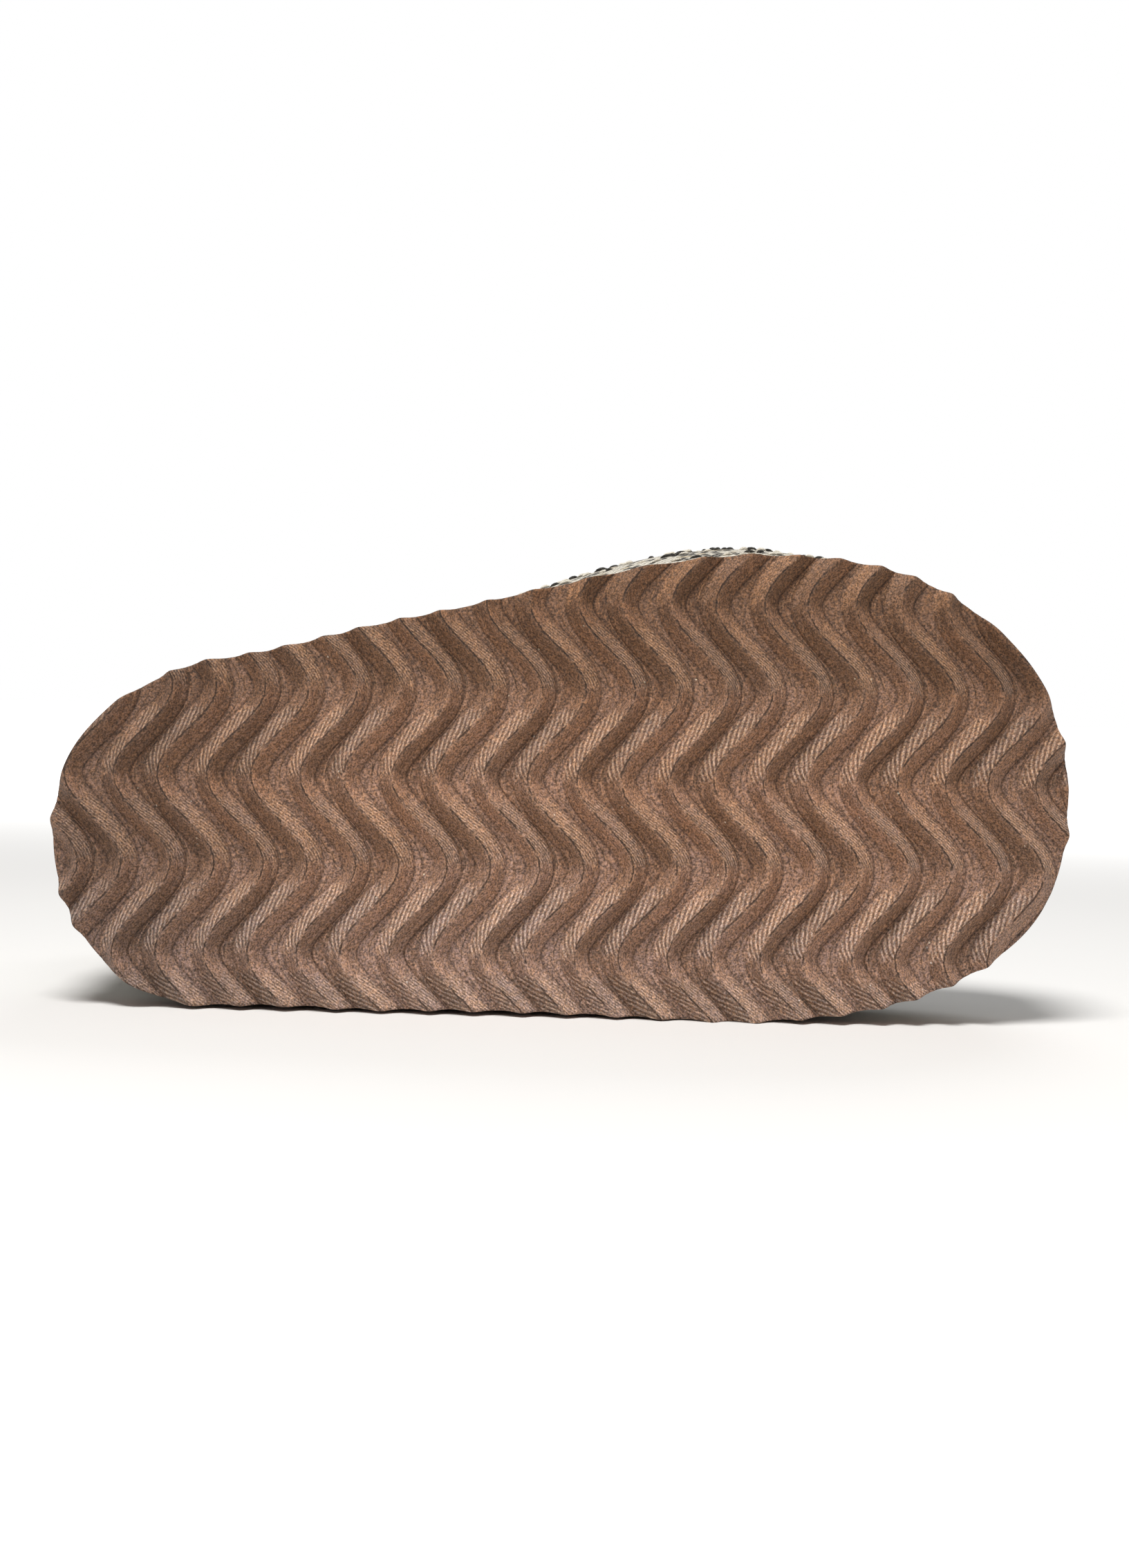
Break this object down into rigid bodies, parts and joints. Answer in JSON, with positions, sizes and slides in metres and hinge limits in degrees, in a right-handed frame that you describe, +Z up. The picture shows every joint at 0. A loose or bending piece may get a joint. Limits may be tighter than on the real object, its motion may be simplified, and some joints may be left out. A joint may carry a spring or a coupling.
{
  "type": "ankle bootie",
  "caption": "Child's right pull-on ankle bootie with a wave-ribbed foam sole and a two-tone woven upper, lying on its inner side.",
  "frame": {"origin": "centre of the bounding box's footprint, on the floor that the shoe lies on", "axes": "+X from the heel to the toe, -Y out of the tread, +Z up from the floor, through the shoe from its inner to its outer side"},
  "size_m": [0.1652, 0.1062, 0.0772],
  "materials": {
    "sole_foam": "matte brown expanded rubber with moulded wave ribs",
    "upper_weave": "cream and black two-tone woven yarn",
    "insole_fleece": "cream brushed lining"
  },
  "bodies": {
    "root": {"outsole": "sole_foam", "upper": "upper_weave", "insole": "insole_fleece"}
  },
  "joints": []
}
